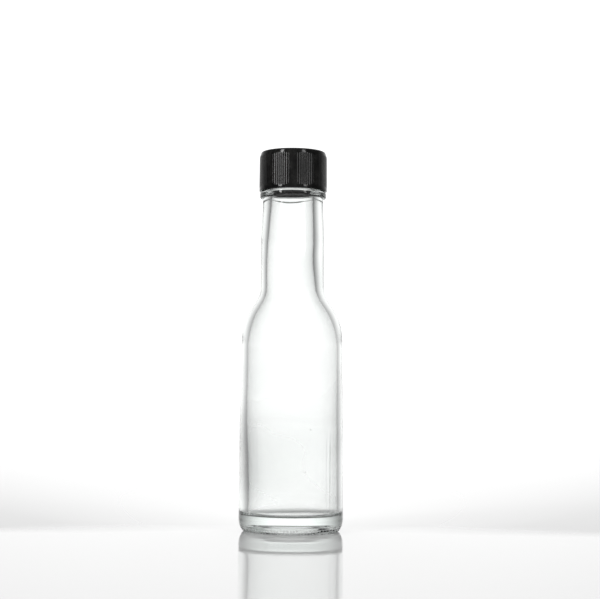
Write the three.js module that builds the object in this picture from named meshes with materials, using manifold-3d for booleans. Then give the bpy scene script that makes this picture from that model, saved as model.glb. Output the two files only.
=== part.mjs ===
// A clear glass sauce bottle of about 150 ml, empty, with a ribbed black screw cap.
// Millimetres, +Z up. The origin is the centre of the base, on the surface that the bottle stands on.
import * as THREE from "three";
import { mergeVertices } from "three/addons/utils/BufferGeometryUtils.js";
import Module from "manifold-3d";

const wasm = await Module();
wasm.setup();

// Driving dimensions of the whole
const OVERALL_HEIGHT = 170.1;
const BODY_RADIUS = 23.22;
const NECK_RADIUS = 14.26;
const CAP_RADIUS = 15.3;
const CAP_HEIGHT = 18;
const CLEARANCE = 0.4; // between the cap and the glass, at the threads and under the roof

// Outside of the glass. The upper body is a little slimmer than the lower, down to the heel.
const BASE = { hollowRadius: 15.4, hollowDepth: 4.3, rise: 0.3, bearingInner: 16.9, edgeCurve: 1.8 };
const HEEL = { radius: BODY_RADIUS + 0.08, footRadius: 21.25, low: 3.02, high: 7.6, curve: 8.6, blend: 16 };
const UPPER_BODY = { radius: BODY_RADIUS - 0.55, taperFrom: 48, taperTo: 74 };
const SHOULDER = { start: 85, curve: 26, neckCurve: 11 };
const SHOULDER_SLOPE = 33; // degrees from the axis, outside and inside
const NECK = { taperFrom: 131.5, taperTo: 143.5, topRadius: NECK_RADIUS - 0.55 };
const BEAD = { radius: 14.95, foot: 149, underside: 149.1, edgeCurve: 0.6, top: 151.8, topCurve: 0.9 };

// Screw finish, which the cap covers
const CAP_ROOF = 1.6;
const CAP_LOW = OVERALL_HEIGHT - CAP_HEIGHT;
const FINISH = { radius: 12.45, top: OVERALL_HEIGHT - CAP_ROOF - CLEARANCE, lipCurve: 0.7 };
const THREAD = { pitch: 4.23, turns: 1.5, depth: 1.2, rootWidth: 1.9, crestWidth: 0.9, belowTop: 2.6 };

// Inside of the glass
const WALL = { body: 3, upperBody: 2.6 };
const FLOOR = { height: 7.15, rise: 0.3, curve: 2 };
const INNER_SHOULDER = { start: 82.8, curve: 28, neckCurve: 14 };
// The neck's bore narrows from its foot to the neck proper, and again to the mouth.
const BORE = {
  footRadius: 11.2,
  neckRadius: 10.35,
  neckFrom: 123,
  neckTo: 129,
  mouthRadius: 9.4,
  mouthFrom: 146,
};

// Cap
const CAP = { bandHeight: 1.5, edge: 0.4, boreCorner: 0.6 };
// The cap's smooth top edge: how far each of its rings is in from the side and below the top
const CAP_TOP_EDGE = [
  { inset: 0.16, below: 1.9 },
  { inset: 0.72, below: 0.6 },
  { inset: 1, below: 0.15 },
  { inset: 1.4, below: 0 },
];
const CAP_BORE_RADIUS = FINISH.radius + THREAD.depth + CLEARANCE;
const RIBS = { count: 90, depth: 0.2, run: 0.3, below: 2.2, inset: 0.08 };

// Facets
const GLASS_SIDES = 48;
const BORE_SIDES = 48;
const THREAD_STEPS_PER_TURN = 32;
const THREAD_FADE_STEPS = 4;
const ROOT_SINK = 0.3; // how far a thread's root reaches into the wall that it grows from

const radians = THREE.MathUtils.degToRad;

// A corner of an outline: radius and height, and the curve that rounds it off in a number of steps.
function corner(r, z, curve = 0, steps = 3) {
  return { point: new THREE.Vector2(r, z), curve, steps };
}

// The arc that rounds off a corner and meets both of its sides.
function roundedCorner(before, { point, curve, steps }, after) {
  const back = before.point.clone().sub(point).normalize();
  const ahead = after.point.clone().sub(point).normalize();
  const half = Math.acos(back.dot(ahead)) / 2;
  const inward = back.clone().add(ahead).normalize();
  const centre = point.clone().addScaledVector(inward, curve / Math.sin(half));
  const start = point.clone().addScaledVector(back, curve / Math.tan(half)).sub(centre);
  const end = point.clone().addScaledVector(ahead, curve / Math.tan(half)).sub(centre);
  const turn = Math.atan2(start.cross(end), start.dot(end));
  const origin = new THREE.Vector2();
  return Array.from({ length: steps + 1 }, (_, k) =>
    start.clone().rotateAround(origin, (turn * k) / steps).add(centre),
  );
}

// A solid of revolution about Z from the corners of its outline, which starts and ends on the axis.
function turned(corners, sides) {
  const outline = corners.flatMap((at, i) =>
    at.curve ? roundedCorner(corners[i - 1], at, corners[i + 1]) : [at.point],
  );
  return toSolid(new THREE.LatheGeometry(outline, sides).rotateX(Math.PI / 2));
}

function toSolid(geometry) {
  geometry.deleteAttribute("normal");
  geometry.deleteAttribute("uv");
  const merged = mergeVertices(geometry);
  const mesh = new wasm.Mesh({
    numProp: 3,
    vertProperties: merged.attributes.position.array,
    triVerts: new Uint32Array(merged.index.array),
  });
  return new wasm.Manifold(mesh);
}

function toGeometry(solid) {
  const mesh = solid.getMesh();
  const geometry = new THREE.BufferGeometry();
  geometry.setAttribute("position", new THREE.BufferAttribute(mesh.vertProperties, 3));
  geometry.setIndex(new THREE.BufferAttribute(mesh.triVerts, 1));
  geometry.computeVertexNormals();
  return geometry;
}

function centreOf(ring) {
  return [0, 1, 2].map((axis) => ring.reduce((sum, point) => sum + point[axis], 0) / ring.length);
}

// A solid through a row of rings with equal numbers of points, anticlockwise as seen from the last ring.
function skinned(rings) {
  const size = rings[0].length;
  const firstCentre = rings.length * size;
  const lastCentre = firstCentre + 1;
  const lastRing = firstCentre - size;
  const triangles = [];
  for (let k = 0; k < size; k++) {
    const next = (k + 1) % size;
    for (let row = 0; row < lastRing; row += size) {
      triangles.push(row + k, row + next, row + size + next);
      triangles.push(row + k, row + size + next, row + size + k);
    }
    triangles.push(firstCentre, next, k);
    triangles.push(lastCentre, lastRing + k, lastRing + next);
  }
  const points = [...rings.flat(), centreOf(rings[0]), centreOf(rings.at(-1))];
  const geometry = new THREE.BufferGeometry();
  geometry.setAttribute("position", new THREE.Float32BufferAttribute(points.flat(), 3));
  geometry.setIndex(triangles);
  return toSolid(geometry);
}

// A right-handed helical ridge between the root radius and the crest radius, which fades out at both ends.
function ridge(root, crest, lowest) {
  const steps = THREAD.turns * THREAD_STEPS_PER_TURN;
  const rings = Array.from({ length: steps + 1 }, (_, i) => {
    const turns = i / THREAD_STEPS_PER_TURN;
    const angle = 2 * Math.PI * turns;
    const middle = lowest + THREAD.pitch * turns;
    const height = Math.min(1, (Math.min(i, steps - i) + 1) / THREAD_FADE_STEPS);
    const tip = root + (crest - root) * height;
    const section = [
      [root, -THREAD.rootWidth / 2],
      [root, THREAD.rootWidth / 2],
      [tip, THREAD.crestWidth / 2],
      [tip, -THREAD.crestWidth / 2],
    ];
    if (crest < root) section.reverse();
    return section.map(([r, z]) => [r * Math.cos(angle), r * Math.sin(angle), middle + z]);
  });
  return skinned(rings);
}

// The two corners of a shoulder, which starts to curve in at a height.
function shoulderCorners(bodyRadius, neckRadius, { start, curve, neckCurve }) {
  const low = start + curve * Math.tan(radians(SHOULDER_SLOPE / 2));
  const high = low + (bodyRadius - neckRadius) / Math.tan(radians(SHOULDER_SLOPE));
  return [corner(bodyRadius, low, curve, 6), corner(neckRadius, high, neckCurve, 5)];
}

function makeBottle() {
  const innerBody = BODY_RADIUS - WALL.body;
  const innerUpperBody = UPPER_BODY.radius - WALL.upperBody;

  const outside = [
    corner(0, BASE.hollowDepth + BASE.rise),
    corner(BASE.hollowRadius, BASE.hollowDepth),
    corner(BASE.bearingInner, 0),
    corner(HEEL.footRadius, 0, BASE.edgeCurve, 2),
    corner(HEEL.radius, HEEL.low, HEEL.curve, 4),
    corner(HEEL.radius, HEEL.high),
    corner(BODY_RADIUS, HEEL.blend),
    corner(BODY_RADIUS, UPPER_BODY.taperFrom),
    corner(UPPER_BODY.radius, UPPER_BODY.taperTo),
    ...shoulderCorners(UPPER_BODY.radius, NECK_RADIUS, SHOULDER),
    corner(NECK_RADIUS, NECK.taperFrom),
    corner(NECK.topRadius, NECK.taperTo),
    corner(NECK.topRadius, BEAD.foot),
    corner(BEAD.radius, BEAD.underside, BEAD.edgeCurve, 3),
    corner(BEAD.radius, BEAD.top, BEAD.topCurve, 3),
    corner(FINISH.radius, CAP_LOW),
    corner(FINISH.radius, FINISH.top, FINISH.lipCurve, 2),
  ];
  const inside = [
    corner(BORE.mouthRadius, FINISH.top, FINISH.lipCurve, 2),
    corner(BORE.mouthRadius, BORE.mouthFrom),
    corner(BORE.neckRadius, BORE.neckTo),
    corner(BORE.neckRadius, BORE.neckFrom),
    ...shoulderCorners(innerUpperBody, BORE.footRadius, INNER_SHOULDER).reverse(),
    corner(innerUpperBody, UPPER_BODY.taperTo),
    corner(innerBody, UPPER_BODY.taperFrom),
    corner(innerBody, FLOOR.height, FLOOR.curve, 4),
    corner(0, FLOOR.height + FLOOR.rise),
  ];
  const glass = turned([...outside, ...inside], GLASS_SIDES);
  const threadLow = FINISH.top - THREAD.belowTop - THREAD.pitch * THREAD.turns;
  const thread = ridge(FINISH.radius - ROOT_SINK, FINISH.radius + THREAD.depth, threadLow);
  return toGeometry(glass.add(thread));
}

// A ring round the cap's outside. Every second point is cut in by the depth.
function ribbedRing(radius, z, depth = 0) {
  const points = RIBS.count * 2;
  return Array.from({ length: points }, (_, i) => {
    const angle = (2 * Math.PI * i) / points;
    const r = radius - (i % 2) * depth;
    return [r * Math.cos(angle), r * Math.sin(angle), z];
  });
}

function makeCap() {
  const bandTop = CAP_LOW + CAP.bandHeight;
  const topEdge = CAP_TOP_EDGE.map(({ inset, below }) =>
    ribbedRing(CAP_RADIUS - inset, OVERALL_HEIGHT - below),
  );
  const outside = skinned([
    ribbedRing(CAP_RADIUS - CAP.edge, CAP_LOW),
    ribbedRing(CAP_RADIUS, CAP_LOW + CAP.edge),
    ribbedRing(CAP_RADIUS, bandTop),
    ribbedRing(CAP_RADIUS, bandTop + RIBS.run, RIBS.depth),
    ribbedRing(CAP_RADIUS - RIBS.inset, OVERALL_HEIGHT - RIBS.below, RIBS.depth),
    ...topEdge,
  ]);
  const roofUnderside = OVERALL_HEIGHT - CAP_ROOF;
  const bore = turned(
    [
      corner(0, CAP_LOW - 1),
      corner(CAP_BORE_RADIUS, CAP_LOW - 1),
      corner(CAP_BORE_RADIUS, roofUnderside - CAP.boreCorner),
      corner(CAP_BORE_RADIUS - CAP.boreCorner, roofUnderside),
      corner(0, roofUnderside),
    ],
    BORE_SIDES,
  );
  // half a pitch below the glass thread, which it draws up against
  const threadLow = FINISH.top - THREAD.belowTop - THREAD.pitch * (THREAD.turns + 0.5);
  const thread = ridge(CAP_BORE_RADIUS + ROOT_SINK, FINISH.radius + CLEARANCE, threadLow);
  return toGeometry(outside.subtract(bore).add(thread));
}

function named(name, geometry, material) {
  const mesh = new THREE.Mesh(geometry, material);
  mesh.name = name;
  return mesh;
}

const clearGlass = new THREE.MeshStandardMaterial({
  color: 0xdfe8e4,
  roughness: 0.05,
  metalness: 0,
  transparent: true,
  opacity: 0.35,
});
const blackPlastic = new THREE.MeshStandardMaterial({ color: 0x1c1c1b, roughness: 0.45, metalness: 0 });

const sauceBottle = new THREE.Group();
sauceBottle.add(named("glass_bottle", makeBottle(), clearGlass));
sauceBottle.add(named("screw_cap", makeCap(), blackPlastic));

export default sauceBottle;
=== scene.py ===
# Looks of the glass sauce bottle and its ribbed black cap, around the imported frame. Metres, +Z up.
import math
from collections import namedtuple

import bpy
from mathutils import Matrix, Vector, noise


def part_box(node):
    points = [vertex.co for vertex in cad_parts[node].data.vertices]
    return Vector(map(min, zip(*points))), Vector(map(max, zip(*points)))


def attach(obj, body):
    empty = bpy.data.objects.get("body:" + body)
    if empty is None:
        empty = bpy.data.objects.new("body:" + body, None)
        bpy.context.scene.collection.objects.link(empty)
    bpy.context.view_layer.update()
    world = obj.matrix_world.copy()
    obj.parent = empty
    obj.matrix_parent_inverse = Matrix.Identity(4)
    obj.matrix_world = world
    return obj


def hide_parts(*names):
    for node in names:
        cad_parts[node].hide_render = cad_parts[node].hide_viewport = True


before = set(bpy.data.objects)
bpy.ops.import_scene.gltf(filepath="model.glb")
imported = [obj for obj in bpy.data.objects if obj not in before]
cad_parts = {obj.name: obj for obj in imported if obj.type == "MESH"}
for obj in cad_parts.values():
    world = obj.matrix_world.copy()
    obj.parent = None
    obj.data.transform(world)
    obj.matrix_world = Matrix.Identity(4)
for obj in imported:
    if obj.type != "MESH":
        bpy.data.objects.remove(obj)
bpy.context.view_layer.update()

MM = 0.001
BODY = "root"

# Heights and radii in millimetres, with the tops and the bottom read from the frame
FINISH_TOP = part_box("glass_bottle")[1][2] / MM
CAP_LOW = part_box("screw_cap")[0][2] / MM
CAP_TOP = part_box("screw_cap")[1][2] / MM
CAP_RADIUS = 15.3
BODY_RADIUS = 23.22
UPPER_RADIUS = BODY_RADIUS - 0.55
NECK_RADIUS = 14.26
NECK_TOP_RADIUS = NECK_RADIUS - 0.55
FINISH_RADIUS = 12.45

# Base: the hollow under it, the ring that it stands on, and the rounded heel
HOLLOW_RADIUS = 15.4
HOLLOW_DEPTH = 4.3
MIDDLE_RISE = 0.3
RING_INSIDE = 16.9
RING_OUTSIDE = 21.25
HEEL_RADIUS = 23.3
HEEL_LOW = 3.02
HEEL_HIGH = 7.6

# Height where the heel ends, and the heights where the body and the neck start and stop narrowing
BODY_FOOT = 16
BODY_NARROWS = (48, 74)
NECK_NARROWS = (131.5, 143.5)

# Shoulder: the angle of its slope from the axis, where it starts, and the curves at its foot and its top
SLOPE = math.radians(33)
OUTER_SHOULDER = (85.0, 26.0, 11.0)
INNER_SHOULDER = (82.8, 28.0, 14.0)

# Glass ring under the cap, with a nearly flat underside
BEAD_RADIUS = 14.95
BEAD_FOOT = 149.0
BEAD_UNDERSIDE = 149.1
BEAD_TOP = 151.8
FINISH_FOOT = 152.1

# Walls, the inner floor, and the bore, which is wider at the foot of the neck and narrower at the mouth
LOWER_WALL = 3.0
UPPER_WALL = 2.6
FLOOR_HEIGHT = 7.15
NECK_FOOT_BORE = 11.2
NECK_BORE = 10.35
NECK_BORE_HEIGHTS = (123, 129)
MOUTH_BORE = 9.4
MOUTH_FOOT = 146

# Screw thread on the glass, and the one in the cap half a pitch below it
PITCH = 4.23
TURNS = 1.5
FADE_TURNS = 0.125
THREAD_DEPTH = 1.2
ROOT_HALF = 0.95
CREST_HALF = 0.45
CLEARANCE = 0.4
THREAD_LOW = FINISH_TOP - 2.6 - PITCH * TURNS
THREAD_LIMITS = (153, FINISH_TOP - 1)
CAP_BORE = FINISH_RADIUS + THREAD_DEPTH + CLEARANCE
CAP_ROOF = 1.6

# Cap: the low rim round its top, the smooth edge and band, and the ribs between them
RIM_INSIDE = 10.8
RIM_OUTSIDE = 11.4
RIM_HEIGHT = 0.15
EDGE_HEIGHT = 2.5
BAND_HEIGHT = 1.5
RIB_COUNT = 90
POINTS_PER_RIB = 6
RIB_DEPTH = 0.1
RIB_FADE = 0.3
RIBS_LOW = CAP_LOW + 1.6
RIBS_TOP = CAP_TOP - 2.0

# Stipple from the ring that the bottle stands on up to the foot of the heel, and where its frosting fades
GLASS_SEGMENTS = 192
STIPPLE_DEPTH = 0.3
STIPPLE_PITCH = 1.4
STIPPLE_INSIDE = 17.2
STIPPLE_TOP = 2.9
RING_FLAT = 0.2
HEEL_STARTS = 0.8
HEEL_ROWS = 1.2
HEEL_LIFT = 0.3
FROST_FADES = (2.2, 2.8)

# Flaws in the front of the glass: two tiny bubbles, and a faint upright crease at the right, in millimetres
BUBBLES = [(6.2, -22.4, 26.9), (8.6, -21.6, 45.3)]
BUBBLE_RADIUS = 0.45
CREASE_X = 15.69
CREASE_HALF = 0.5
CREASE_HEIGHT = 0.33

# Where the crease fades: along which axis, from where to where, and its shares before and after that
CREASE_LIMITS = [("Y", -6, -4, 1, 0), ("Z", 8, 14, 0, 1), ("Z", 38, 46, 1, 0)]

# The bore isn't true to the outside: height, how much wider, and how far to the right, in millimetres
BORE_WAVES = [
    (0, 0.0, 0.4),
    (16, -0.5, 0.7),
    (32, -0.4, 0.4),
    (50, 0.0, 0.1),
    (64, -0.1, 0.15),
    (84, -0.1, 0.2),
    (91, -0.15, 0.2),
    (97, -0.1, 0.1),
    (104, -0.1, -0.2),
    (110, 0.0, -0.4),
    (114, -0.1, -0.6),
    (121, -0.1, -0.95),
    (131, 0.0, -0.55),
    (142, 0.0, -0.35),
    (152, 0.0, -0.2),
    (164, 0.0, 0.0),
]

# How far each of these heights blends into the ones around it, in millimetres
WAVE_BLEND = 6

# Ripples of the bore and of its floor: how fine they are, and how deep in millimetres
BORE_RIPPLES = [(60, 0.04), (150, 0.012)]
FLOOR_RIPPLE = (120, 0.08)

# Light of the white wall: degrees to either side of the middle of the view, and how bright it is there
WALL_LIGHT = [
    (0, 1.25),
    (10, 1.22),
    (15, 1.15),
    (19, 1.08),
    (23, 1.02),
    (29, 0.9),
    (34, 0.78),
    (39, 0.66),
    (44, 0.56),
    (50, 0.44),
    (60, 0.25),
    (68, 0.14),
    (78, 0.1),
    (110, 0.12),
    (180, 0.24),
]

# The wall's greatest strength, and its lower one level with the bottle
WALL_STRENGTH = WALL_LIGHT[0][1]
LEVEL_STRENGTH = 1.19

# Light from above, which takes over between these two heights of the sky's unit sphere
SKY_LIGHT = 0.35
SKY_HEIGHTS = (0.68, 0.9)

# Softboxes: how far from the axis, how high, how wide and tall, and the height that they point at, in metres
SOFTBOX_AWAY = 1.3
SOFTBOX_HIGH = 0.74
SOFTBOX_SIZE = (0.24, 1.05)
SOFTBOX_AIM = 0.12

# Painted light on the floor: it glows faintly and keeps its full colour in front of the bottle and in a wedge
# behind it, and painted shade darkens it, without the glow, to the sides of the wedge. The slopes of the
# wedge's sides where the painted shade starts and stops, and how far in front of the axis its tip is, in
# metres
WEDGE_SIDES = (0.12, 0.6)
WEDGE_TIP = 0.15

# Camera: its place in metres, how far it is tilted up and rolled in degrees, and its lens in millimetres
CAMERA_PLACE = (0.00345, -0.674, 0.061)
CAMERA_TILT = 3.606
CAMERA_ROLL = 0.405
CAMERA_LENS = 90

Corner = namedtuple("Corner", "r z curve steps cuts")


def between(points, z):
    """The values at a height on straight lines between the rows of a list."""
    for low, high in zip(points, points[1:]):
        if z <= high[0]:
            share = (z - low[0]) / (high[0] - low[0])
            return [a + (b - a) * share for a, b in zip(low[1:], high[1:])]
    return list(points[-1][1:])


BORE_PROFILE = [(z, *between(BORE_WAVES, z)) for z in range(0, 170, 2)]


def corner(r, z, curve=0.0, steps=1, cuts=1):
    """A corner of an outline, the curve that rounds it, and the cuts in the straight run that leads to it."""
    return Corner(r, z, curve, steps, cuts)


def rounding(before, at, after):
    """Where the curve of a corner starts and ends, its centre and its turn."""
    point = Vector((at.r, at.z))
    back = (Vector((before.r, before.z)) - point).normalized()
    ahead = (Vector((after.r, after.z)) - point).normalized()
    half = back.angle(ahead) / 2
    centre = point + (back + ahead).normalized() * at.curve / math.sin(half)
    start = point + back * at.curve / math.tan(half)
    end = point + ahead * at.curve / math.tan(half)
    turn = -(start - centre).angle_signed(end - centre)
    return start, end, centre, turn


def extend(here, there, cuts):
    """Extrudes the selected end of the outline from here to there in equal steps."""
    step = (there - here) / cuts * MM
    for _ in range(cuts):
        bpy.ops.mesh.extrude_vertices_move(TRANSFORM_OT_translate={"value": (step.x, 0, step.y)})


def outlined(name, corners, inner_from):
    """An outline in the XZ plane. From one of its corners on, its points are in the group named inside."""
    bpy.ops.object.select_all(action="DESELECT")
    first = corners[0]
    bpy.ops.mesh.primitive_plane_add(size=MM, location=(first.r * MM, 0, first.z * MM))
    piece = bpy.context.object
    piece.name = name
    piece.data.name = name
    bpy.ops.object.mode_set(mode="EDIT")
    bpy.ops.mesh.merge(type="CENTER")
    here = Vector((first.r, first.z))
    for i, at in enumerate(corners[1:], 1):
        if at.curve:
            start, end, centre, turn = rounding(corners[i - 1], at, corners[i + 1])
            extend(here, start, at.cuts)
            bpy.ops.mesh.spin(
                steps=at.steps,
                angle=turn,
                center=(centre.x * MM, 0, centre.y * MM),
                axis=(0, 1, 0),
            )
            here = end
        else:
            there = Vector((at.r, at.z))
            extend(here, there, at.cuts)
            here = there
        if i == inner_from:
            bpy.ops.object.vertex_group_assign_new()
            piece.vertex_groups.active.name = "inside"
    bpy.ops.object.mode_set(mode="OBJECT")
    bpy.ops.object.transform_apply(location=True, rotation=True, scale=True)
    return piece


def revolve(piece, segments):
    """Spins an outline about the axis into a closed shell with its faces outwards."""
    bpy.ops.object.mode_set(mode="EDIT")
    bpy.ops.mesh.select_all(action="SELECT")
    bpy.ops.mesh.spin(steps=segments, angle=math.tau, center=(0, 0, 0), axis=(0, 0, 1))
    bpy.ops.mesh.select_all(action="SELECT")
    bpy.ops.mesh.remove_doubles(threshold=0.002 * MM)
    bpy.ops.mesh.normals_make_consistent(inside=False)
    bpy.ops.object.mode_set(mode="OBJECT")
    bpy.ops.object.shade_smooth()


def inside_points(piece):
    return [v for v in piece.data.vertices if v.groups]


def outside_points(piece):
    return [v for v in piece.data.vertices if not v.groups]


def moved_out(vertex, millimetres):
    """Moves a point away from the axis, or towards it by a negative amount."""
    radius = math.hypot(vertex.co.x, vertex.co.y)
    if radius > 0:
        share = 1 + millimetres * MM / radius
        vertex.co.x *= share
        vertex.co.y *= share


def bore_wave(z):
    """How much wider than its outline the bore is at a height, and how far it is to the right."""
    nearby = [
        (math.exp(-(((z - height) / WAVE_BLEND) ** 2)), wide, right)
        for height, wide, right in BORE_PROFILE
    ]
    total = sum(weight for weight, _, _ in nearby)
    wide = sum(weight * wide for weight, wide, _ in nearby) / total
    right = sum(weight * right for weight, _, right in nearby) / total
    return wide, right


def thread_height(vertex, lowest):
    """The share of the thread's depth at a point, for a right-handed thread that starts at a height."""
    z = vertex.co.z / MM
    around = (math.atan2(vertex.co.y, vertex.co.x) / math.tau) % 1
    lap = round((z - lowest) / PITCH - around)
    turn = around + lap
    if turn < 0 or turn > TURNS:
        return 0.0
    off = abs(z - lowest - PITCH * turn)
    flank = (ROOT_HALF - off) / (ROOT_HALF - CREST_HALF)
    fade = min(turn, TURNS - turn) / FADE_TURNS
    return max(0.0, min(1.0, flank)) * min(1.0, fade)


def shoulder(body, neck, sizes, steps):
    """The two corners of a shoulder, from the body up to the neck."""
    start, foot_curve, top_curve = sizes
    low = start + foot_curve * math.tan(SLOPE / 2)
    high = low + (body - neck) / math.tan(SLOPE)
    return [corner(body, low, foot_curve, steps, 10), corner(neck, high, top_curve, steps - 2, 3)]


def glass_outline():
    """The corners of the glass from the middle of the base, and the number of them up the outside."""
    lower_bore = BODY_RADIUS - LOWER_WALL
    upper_bore = UPPER_RADIUS - UPPER_WALL
    outside = [
        corner(0, HOLLOW_DEPTH + MIDDLE_RISE),
        corner(HOLLOW_RADIUS, HOLLOW_DEPTH, 0.8, 5, 3),
        corner(RING_INSIDE, 0, 0.9, 3, 3),
        corner(RING_OUTSIDE, 0, 1.8, 4, 8),
        corner(HEEL_RADIUS, HEEL_LOW, 8.6, 12, 2),
        corner(HEEL_RADIUS, HEEL_HIGH, 12, 3, 1),
        corner(BODY_RADIUS, BODY_FOOT, 60, 3, 3),
        corner(BODY_RADIUS, BODY_NARROWS[0], 90, 3, 6),
        corner(UPPER_RADIUS, BODY_NARROWS[1], 90, 3, 4),
        *shoulder(UPPER_RADIUS, NECK_RADIUS, OUTER_SHOULDER, 18),
        corner(NECK_RADIUS, NECK_NARROWS[0], 40, 3, 6),
        corner(NECK_TOP_RADIUS, NECK_NARROWS[1], 30, 3, 2),
        corner(NECK_TOP_RADIUS, BEAD_FOOT, 0.15, 2, 2),
        corner(BEAD_RADIUS, BEAD_UNDERSIDE, 0.6, 6, 1),
        corner(BEAD_RADIUS, BEAD_TOP, 0.9, 8, 1),
        corner(FINISH_RADIUS, FINISH_FOOT, 0.4, 2, 4),
        corner(FINISH_RADIUS, FINISH_TOP, 0.7, 4, 50),
    ]
    inside = [
        corner(MOUTH_BORE, FINISH_TOP, 0.7, 4, 2),
        corner(MOUTH_BORE, MOUTH_FOOT, 20, 2, 12),
        corner(NECK_BORE, NECK_BORE_HEIGHTS[1], 30, 2, 12),
        corner(NECK_BORE, NECK_BORE_HEIGHTS[0], 80, 3, 2),
    ]
    rise = shoulder(upper_bore, NECK_FOOT_BORE, INNER_SHOULDER, 18)
    inside += [rise[1]._replace(cuts=10), rise[0]._replace(cuts=3)]
    inside += [
        corner(upper_bore, BODY_NARROWS[1], 60, 2, 8),
        corner(lower_bore, BODY_NARROWS[0], 60, 2, 16),
        corner(lower_bore, FLOOR_HEIGHT, 2, 8, 24),
        corner(0, FLOOR_HEIGHT + MIDDLE_RISE, cuts=8),
    ]
    return outside + inside, len(outside)


def waver_bore(glass):
    """Makes the bore uneven, as poured glass is: wide and narrow waves, off centre, and slight ripples."""
    full = UPPER_RADIUS - UPPER_WALL
    for vertex in inside_points(glass):
        wide, right = bore_wave(vertex.co.z / MM)
        share = min(1.0, math.hypot(vertex.co.x, vertex.co.y) / MM / full)
        ripple = sum(noise.noise(vertex.co * fine) * deep for fine, deep in BORE_RIPPLES)
        moved_out(vertex, (wide + ripple) * share)
        vertex.co.x += right * MM
        if vertex.co.z < (FLOOR_HEIGHT + 4) * MM:
            vertex.co.z += noise.noise(vertex.co * FLOOR_RIPPLE[0]) * FLOOR_RIPPLE[1] * MM


def cut_thread(glass):
    """Raises the screw thread on the finish."""
    for vertex in outside_points(glass):
        if THREAD_LIMITS[0] * MM < vertex.co.z < THREAD_LIMITS[1] * MM:
            moved_out(vertex, THREAD_DEPTH * thread_height(vertex, THREAD_LOW))


def stipple_heel(glass):
    """Presses chequered rows of dimples into the ring that the bottle stands on and the foot of the heel."""
    for vertex in outside_points(glass):
        radius = math.hypot(vertex.co.x, vertex.co.y) / MM
        height = vertex.co.z / MM
        if radius > STIPPLE_INSIDE and height < STIPPLE_TOP:
            on_heel = height > RING_FLAT
            along = (HEEL_ROWS * height if on_heel else radius - RING_OUTSIDE) / STIPPLE_PITCH
            row = math.floor(along)
            step = round(math.atan2(vertex.co.y, vertex.co.x) / math.tau * GLASS_SEGMENTS)
            if (step + row) % 2:
                depth = STIPPLE_DEPTH * math.sin(math.pi * (along - row)) ** 2
                vertex.co.z += depth * MM if height < HEEL_STARTS else HEEL_LIFT * depth * MM
                moved_out(vertex, -depth if on_heel else 0)


def make_bottle():
    corners, inner_from = glass_outline()
    glass = outlined("clear_bottle", corners, inner_from)
    revolve(glass, GLASS_SEGMENTS)
    stipple_heel(glass)
    cut_thread(glass)
    waver_bore(glass)
    return glass


def cap_outline():
    """The corners of the cap from the middle of its top, and the number of them down the outside."""
    outside = [
        corner(0, CAP_TOP - RIM_HEIGHT),
        corner(RIM_INSIDE, CAP_TOP - RIM_HEIGHT, 1, 2, 4),
        corner(RIM_OUTSIDE, CAP_TOP, 1, 2, 1),
        corner(CAP_RADIUS - 0.85, CAP_TOP, 0.9, 6, 3),
        corner(CAP_RADIUS - 0.1, CAP_TOP - EDGE_HEIGHT, 4, 6, 3),
        corner(CAP_RADIUS, CAP_LOW + BAND_HEIGHT + 0.25, cuts=12),
        corner(CAP_RADIUS, CAP_LOW + BAND_HEIGHT),
        corner(CAP_RADIUS, CAP_LOW, 0.4, 4, 2),
        corner(CAP_BORE + 0.2, CAP_LOW, 0.2, 2, 1),
    ]
    inside = [
        corner(CAP_BORE, CAP_LOW + 0.4),
        corner(CAP_BORE, CAP_TOP - CAP_ROOF - 0.6, cuts=44),
        corner(CAP_BORE - 0.6, CAP_TOP - CAP_ROOF),
        corner(0, CAP_TOP - CAP_ROOF, cuts=3),
    ]
    return outside + inside, len(outside)


def cut_ribs(cap):
    """Presses the grooves between the ribs into the cap's side, up to its smooth top edge."""
    for vertex in outside_points(cap):
        height = vertex.co.z / MM
        if RIBS_LOW < height < RIBS_TOP:
            around = math.atan2(vertex.co.y, vertex.co.x) / math.tau * RIB_COUNT
            groove = (2 * (around - round(around))) ** 2
            depth = RIB_DEPTH * min(1.0, (RIBS_TOP - height) / RIB_FADE)
            moved_out(vertex, -depth * groove)


def make_cap():
    corners, inner_from = cap_outline()
    cap = outlined("ribbed_cap", corners, inner_from)
    revolve(cap, RIB_COUNT * POINTS_PER_RIB)
    cut_ribs(cap)
    for vertex in inside_points(cap):
        if vertex.co.z < (CAP_TOP - 3) * MM:
            moved_out(vertex, -THREAD_DEPTH * thread_height(vertex, THREAD_LOW - PITCH / 2))
    return cap


def new_material(name):
    """A material with only a Principled shader and an output."""
    material = bpy.data.materials.new(name)
    material.use_nodes = True
    return material, material.node_tree.nodes, material.node_tree.links


def object_noise(nodes, links, scale, detail, rough, flat=1.0):
    """Noise on Object coordinates. A number below one for flat draws it out into upright streaks."""
    coordinates = nodes.new("ShaderNodeTexCoord")
    stretch = nodes.new("ShaderNodeVectorMath")
    stretch.operation = "MULTIPLY"
    stretch.inputs[1].default_value = (1, 1, flat)
    links.new(coordinates.outputs["Object"], stretch.inputs[0])
    texture = nodes.new("ShaderNodeTexNoise")
    texture.inputs["Scale"].default_value = scale
    texture.inputs["Detail"].default_value = detail
    texture.inputs["Roughness"].default_value = rough
    links.new(stretch.outputs["Vector"], texture.inputs["Vector"])
    return texture.outputs["Fac"]


def ranged(nodes, links, value, low, high, to_low, to_high):
    """Maps a value from one range to another."""
    mapping = nodes.new("ShaderNodeMapRange")
    mapping.inputs["From Min"].default_value = low
    mapping.inputs["From Max"].default_value = high
    mapping.inputs["To Min"].default_value = to_low
    mapping.inputs["To Max"].default_value = to_high
    links.new(value, mapping.inputs["Value"])
    return mapping.outputs["Result"]


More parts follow.
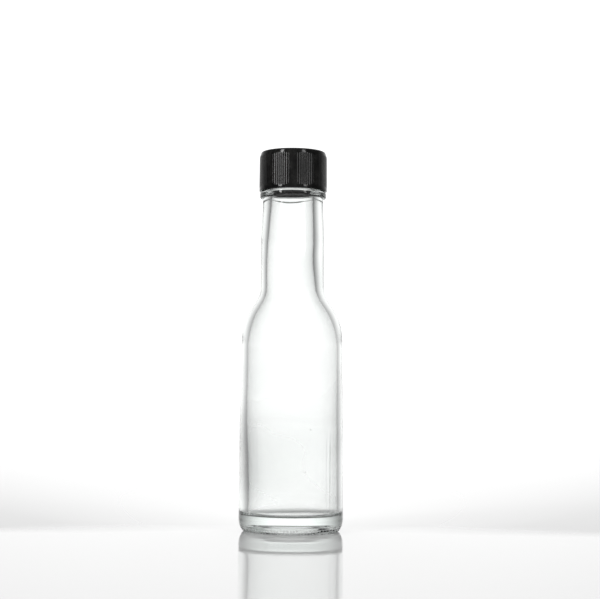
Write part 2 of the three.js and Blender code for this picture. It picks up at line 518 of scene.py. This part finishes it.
def computed(nodes, links, operation, first, second=None):
    """The result of a calculation on one or two values. The second may be a plain number."""
    node = nodes.new("ShaderNodeMath")
    node.operation = operation
    links.new(first, node.inputs[0])
    if isinstance(second, float):
        node.inputs[1].default_value = second
    elif second:
        links.new(second, node.inputs[1])
    return node.outputs["Value"]


def blended(nodes, links, factor, first, second):
    """Mixes two colours by a factor."""
    mix = nodes.new("ShaderNodeMix")
    mix.data_type = "RGBA"
    mix.inputs["A"].default_value = (*first, 1)
    mix.inputs["B"].default_value = (*second, 1)
    links.new(factor, mix.inputs["Factor"])
    return mix.outputs["Result"]


def bumped(nodes, links, height, distance, strength, after=None):
    """A bump from a height, on top of another one if given."""
    bump = nodes.new("ShaderNodeBump")
    bump.inputs["Distance"].default_value = distance
    bump.inputs["Strength"].default_value = strength
    links.new(height, bump.inputs["Height"])
    if after:
        links.new(after, bump.inputs["Normal"])
    return bump.outputs["Normal"]


def frosting(nodes, links):
    """How frosted the glass is: one in the dimples of the stipple at the foot of the heel, zero elsewhere."""
    coordinates = nodes.new("ShaderNodeTexCoord")
    cells = nodes.new("ShaderNodeTexVoronoi")
    cells.inputs["Scale"].default_value = 1 / (STIPPLE_PITCH * MM)
    cells.inputs["Randomness"].default_value = 0.2
    links.new(coordinates.outputs["Object"], cells.inputs["Vector"])
    dots = ranged(nodes, links, cells.outputs["Distance"], 0.2, 0.5, 1, 0)
    axes = nodes.new("ShaderNodeSeparateXYZ")
    links.new(coordinates.outputs["Object"], axes.inputs["Vector"])
    low = ranged(nodes, links, axes.outputs["Z"], FROST_FADES[0] * MM, FROST_FADES[1] * MM, 1, 0)
    return computed(nodes, links, "MULTIPLY", dots, low)


def flaws(nodes, links):
    """The height of the bubbles and of the crease."""
    coordinates = nodes.new("ShaderNodeTexCoord")
    axes = nodes.new("ShaderNodeSeparateXYZ")
    links.new(coordinates.outputs["Object"], axes.inputs["Vector"])
    aside = computed(nodes, links, "SUBTRACT", axes.outputs["X"], CREASE_X * MM)
    aside = computed(nodes, links, "ABSOLUTE", aside)
    height = ranged(nodes, links, aside, 0, CREASE_HALF * MM, CREASE_HEIGHT, 0)
    for axis, start, end, before, after in CREASE_LIMITS:
        within = ranged(nodes, links, axes.outputs[axis], start * MM, end * MM, before, after)
        height = computed(nodes, links, "MULTIPLY", height, within)
    for bubble in BUBBLES:
        away = nodes.new("ShaderNodeVectorMath")
        away.operation = "DISTANCE"
        away.inputs[1].default_value = Vector(bubble) * MM
        links.new(coordinates.outputs["Object"], away.inputs[0])
        swelling = ranged(nodes, links, away.outputs["Value"], 0, BUBBLE_RADIUS * MM, 1, 0)
        height = computed(nodes, links, "ADD", height, swelling)
    return height


def clear_glass():
    """Clear bottle glass: slightly green through its thick parts, with soft ripples and a frosted stipple."""
    material, nodes, links = new_material("clear_bottle_glass")
    shader = nodes["Principled BSDF"]
    frosted = frosting(nodes, links)
    links.new(ranged(nodes, links, frosted, 0, 1, 1, 0.4), shader.inputs["Transmission Weight"])
    shader.inputs["IOR"].default_value = 1.52
    cloud = object_noise(nodes, links, 40, 2, 0.5)
    links.new(blended(nodes, links, cloud, (0.985, 1.0, 0.992), (1.0, 1.0, 1.0)), shader.inputs["Base Color"])
    links.new(ranged(nodes, links, frosted, 0, 1, 0, 0.4), shader.inputs["Roughness"])
    ripples = object_noise(nodes, links, 85, 1, 0.4)
    rippled = bumped(nodes, links, ripples, 0.05 * MM, 0.5)
    links.new(bumped(nodes, links, flaws(nodes, links), 0.25 * MM, 0.8, rippled), shader.inputs["Normal"])
    depth = nodes.new("ShaderNodeVolumeAbsorption")
    depth.inputs["Color"].default_value = (0.55, 1.0, 0.8, 1)
    depth.inputs["Density"].default_value = 2.5
    links.new(depth.outputs["Volume"], nodes["Material Output"].inputs["Volume"])
    return material


def black_plastic():
    """Moulded black plastic with a satin shine, a fine grain and faint scuffs."""
    material, nodes, links = new_material("moulded_black_plastic")
    shader = nodes["Principled BSDF"]
    scuffs = object_noise(nodes, links, 260, 5, 0.65)
    streaks = object_noise(nodes, links, 900, 2, 0.5, flat=0.12)
    worn = computed(nodes, links, "MULTIPLY", ranged(nodes, links, scuffs, 0.38, 0.66, 0.15, 1), streaks)
    colour = blended(
        nodes,
        links,
        ranged(nodes, links, worn, 0.08, 0.62, 0, 1),
        (0.0005, 0.0005, 0.0004),
        (0.022, 0.022, 0.0205),
    )
    links.new(colour, shader.inputs["Base Color"])
    links.new(ranged(nodes, links, streaks, 0.35, 0.65, 0.07, 0.13), shader.inputs["Roughness"])
    shader.inputs["IOR"].default_value = 1.5
    grain = object_noise(nodes, links, 2600, 2, 0.5)
    links.new(bumped(nodes, links, grain, 0.01 * MM, 0.35), shader.inputs["Normal"])
    return material


def glossy_floor():
    """White floor with a clear reflection, as polished acrylic has, a faint painted glow, and painted shade
    behind the bottle to the sides of a wedge.
    """
    material, nodes, links = new_material("white_floor")
    shader = nodes["Principled BSDF"]
    cloud = object_noise(nodes, links, 6, 2, 0.5)
    coordinates = nodes.new("ShaderNodeTexCoord")
    axes = nodes.new("ShaderNodeSeparateXYZ")
    links.new(coordinates.outputs["Object"], axes.inputs["Vector"])
    sideways = computed(nodes, links, "ABSOLUTE", axes.outputs["X"])
    away = computed(nodes, links, "ABSOLUTE", axes.outputs["Y"])
    away = computed(nodes, links, "ADD", away, WEDGE_TIP)
    off_middle = computed(nodes, links, "DIVIDE", sideways, away)
    behind = ranged(nodes, links, axes.outputs["Y"], -0.03, 0.03, 0, 1)
    off_middle = computed(nodes, links, "MULTIPLY", off_middle, behind)
    # Painted shade: the floor's colour falls to a quarter behind the bottle, to the sides of the wedge
    painted_shade = ranged(nodes, links, off_middle, *WEDGE_SIDES, 1.0, 0.25)
    tone = nodes.new("ShaderNodeVectorMath")
    tone.operation = "SCALE"
    links.new(blended(nodes, links, cloud, (0.92, 0.92, 0.92), (0.94, 0.94, 0.94)), tone.inputs["Vector"])
    links.new(painted_shade, tone.inputs["Scale"])
    links.new(tone.outputs["Vector"], shader.inputs["Base Color"])
    # Painted glow: the floor gives off faint light, though it is no lamp, except where the painted shade
    # falls
    painted_glow = ranged(nodes, links, off_middle, *WEDGE_SIDES, 0.05, 0.0)
    shader.inputs["Emission Color"].default_value = (1, 1, 1, 1)
    links.new(painted_glow, shader.inputs["Emission Strength"])
    links.new(ranged(nodes, links, cloud, 0.3, 0.7, 0.02, 0.04), shader.inputs["Roughness"])
    shader.inputs["IOR"].default_value = 1.5
    return material


def finish_piece(piece, node, material):
    """Puts the material on a piece that stands for a node."""
    piece.data.materials.clear()
    piece.data.materials.append(material)
    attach(piece, BODY)
    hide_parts(node)


def make_floor():
    bpy.ops.object.select_all(action="DESELECT")
    bpy.ops.mesh.primitive_plane_add(size=8, location=(0, 0, 0))
    floor = bpy.context.object
    floor.name = "floor"
    floor.data.materials.append(glossy_floor())


def studio_light():
    """A white wall of light behind, darker to the sides, and soft light from above."""
    world = bpy.data.worlds.new("studio")
    bpy.context.scene.world = world
    world.use_nodes = True
    nodes = world.node_tree.nodes
    links = world.node_tree.links
    coordinates = nodes.new("ShaderNodeTexCoord")
    axes = nodes.new("ShaderNodeSeparateXYZ")
    links.new(coordinates.outputs["Generated"], axes.inputs["Vector"])

    around = nodes.new("ShaderNodeValToRGB")
    links.new(ranged(nodes, links, axes.outputs["Y"], -1, 1, 0, 1), around.inputs["Fac"])
    stops = [
        ((1 + math.cos(math.radians(turn))) / 2, light / WALL_STRENGTH)
        for turn, light in reversed(WALL_LIGHT)
    ]
    ramp = around.color_ramp
    for i, (place, light) in enumerate(stops):
        stop = ramp.elements[i] if i < 2 else ramp.elements.new(place)
        stop.position = place
        stop.color = (light, light, light, 1)

    above = ranged(nodes, links, axes.outputs["Z"], *SKY_HEIGHTS, 0, 1)
    sky = nodes.new("ShaderNodeMix")
    sky.data_type = "RGBA"
    links.new(above, sky.inputs["Factor"])
    links.new(around.outputs["Color"], sky.inputs["A"])
    sky.inputs["B"].default_value = (SKY_LIGHT, SKY_LIGHT, SKY_LIGHT, 1)
    background = nodes["Background"]
    links.new(sky.outputs["Result"], background.inputs["Color"])
    off_level = computed(nodes, links, "ABSOLUTE", axes.outputs["Z"])
    rise = ranged(nodes, links, off_level, 0, 0.05, LEVEL_STRENGTH, WALL_STRENGTH)
    links.new(rise, background.inputs["Strength"])


def softbox(name, side, power):
    """An upright soft light in front of the bottle, at an angle to the side of the camera."""
    angle = math.radians(side)
    place = Vector((math.sin(angle), -math.cos(angle), 0)) * SOFTBOX_AWAY
    place.z = SOFTBOX_HIGH
    bpy.ops.object.light_add(type="AREA", location=place)
    light = bpy.context.object
    light.name = name
    light.data.shape = "RECTANGLE"
    light.data.size = SOFTBOX_SIZE[0]
    light.data.size_y = SOFTBOX_SIZE[1]
    light.data.energy = power
    light.rotation_euler = (Vector((0, 0, SOFTBOX_AIM)) - place).to_track_quat("-Z", "Y").to_euler()
    light.visible_camera = False
    light.visible_transmission = False


def add_camera():
    """The photo's view: from a little below the middle, tilted up, with the bottle left of the centre."""
    bpy.ops.object.camera_add(location=CAMERA_PLACE)
    camera = bpy.context.object
    camera.data.sensor_width = 36
    camera.data.lens = CAMERA_LENS
    tilt = Matrix.Rotation(math.radians(90 + CAMERA_TILT), 4, "X")
    roll = Matrix.Rotation(math.radians(CAMERA_ROLL), 4, "Z")
    camera.rotation_euler = (tilt @ roll).to_euler()
    bpy.context.scene.camera = camera


scene = bpy.context.scene
scene.view_settings.view_transform = "Standard"
scene.cycles.max_bounces = 24
scene.cycles.transmission_bounces = 24
scene.cycles.glossy_bounces = 12

finish_piece(make_bottle(), "glass_bottle", clear_glass())
finish_piece(make_cap(), "screw_cap", black_plastic())
make_floor()
studio_light()
softbox("left_softbox", -44, 6.0)
softbox("right_softbox", 42, 2.9)
add_camera()
